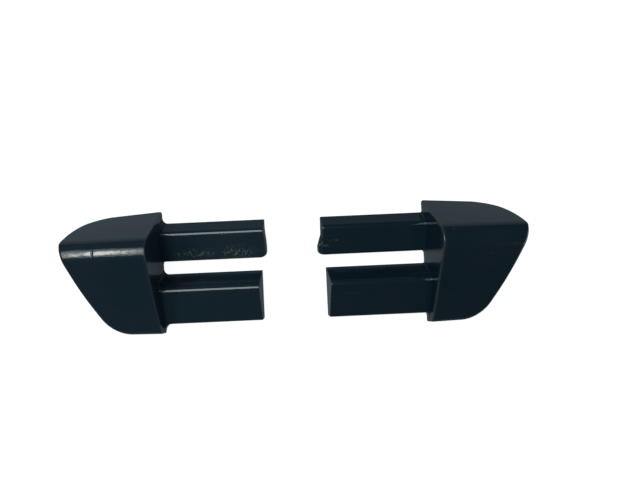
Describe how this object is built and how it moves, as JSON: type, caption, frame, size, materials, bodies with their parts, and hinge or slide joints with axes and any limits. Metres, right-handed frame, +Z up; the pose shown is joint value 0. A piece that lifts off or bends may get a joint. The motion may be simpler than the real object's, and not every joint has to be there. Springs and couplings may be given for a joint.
{
  "type": "skate blade guards",
  "caption": "Left and right moulded end guards, each a hollow wedge nose with an end wall and slotted prongs that take a skate blade's end.",
  "frame": {"origin": "middle of the pair, on the surface it rests on", "axes": "+X along the blade from the left guard to the right one, +Y towards the guards' steep sides, +Z up; the pair is mirrored about X = 0"},
  "size_m": [0.169, 0.0484, 0.0252],
  "materials": {
    "guard_plastic": "satin moulded plastic, blue-black"
  },
  "bodies": {
    "left_guard": {"left_nose_shell": "guard_plastic", "left_end_wall": "guard_plastic", "left_narrow_prong": "guard_plastic", "left_wide_prong": "guard_plastic", "left_ridge_rib": "guard_plastic", "left_slope_rib": "guard_plastic"},
    "right_guard": {"right_nose_shell": "guard_plastic", "right_end_wall": "guard_plastic", "right_narrow_prong": "guard_plastic", "right_wide_prong": "guard_plastic", "right_ridge_rib": "guard_plastic", "right_slope_rib": "guard_plastic"}
  },
  "joints": [
    {"name": "guard_slide", "type": "slide", "parent": "left_guard", "child": "right_guard", "axis": [1, 0, 0], "range_m": [-0.018, 0.18]}
  ]
}
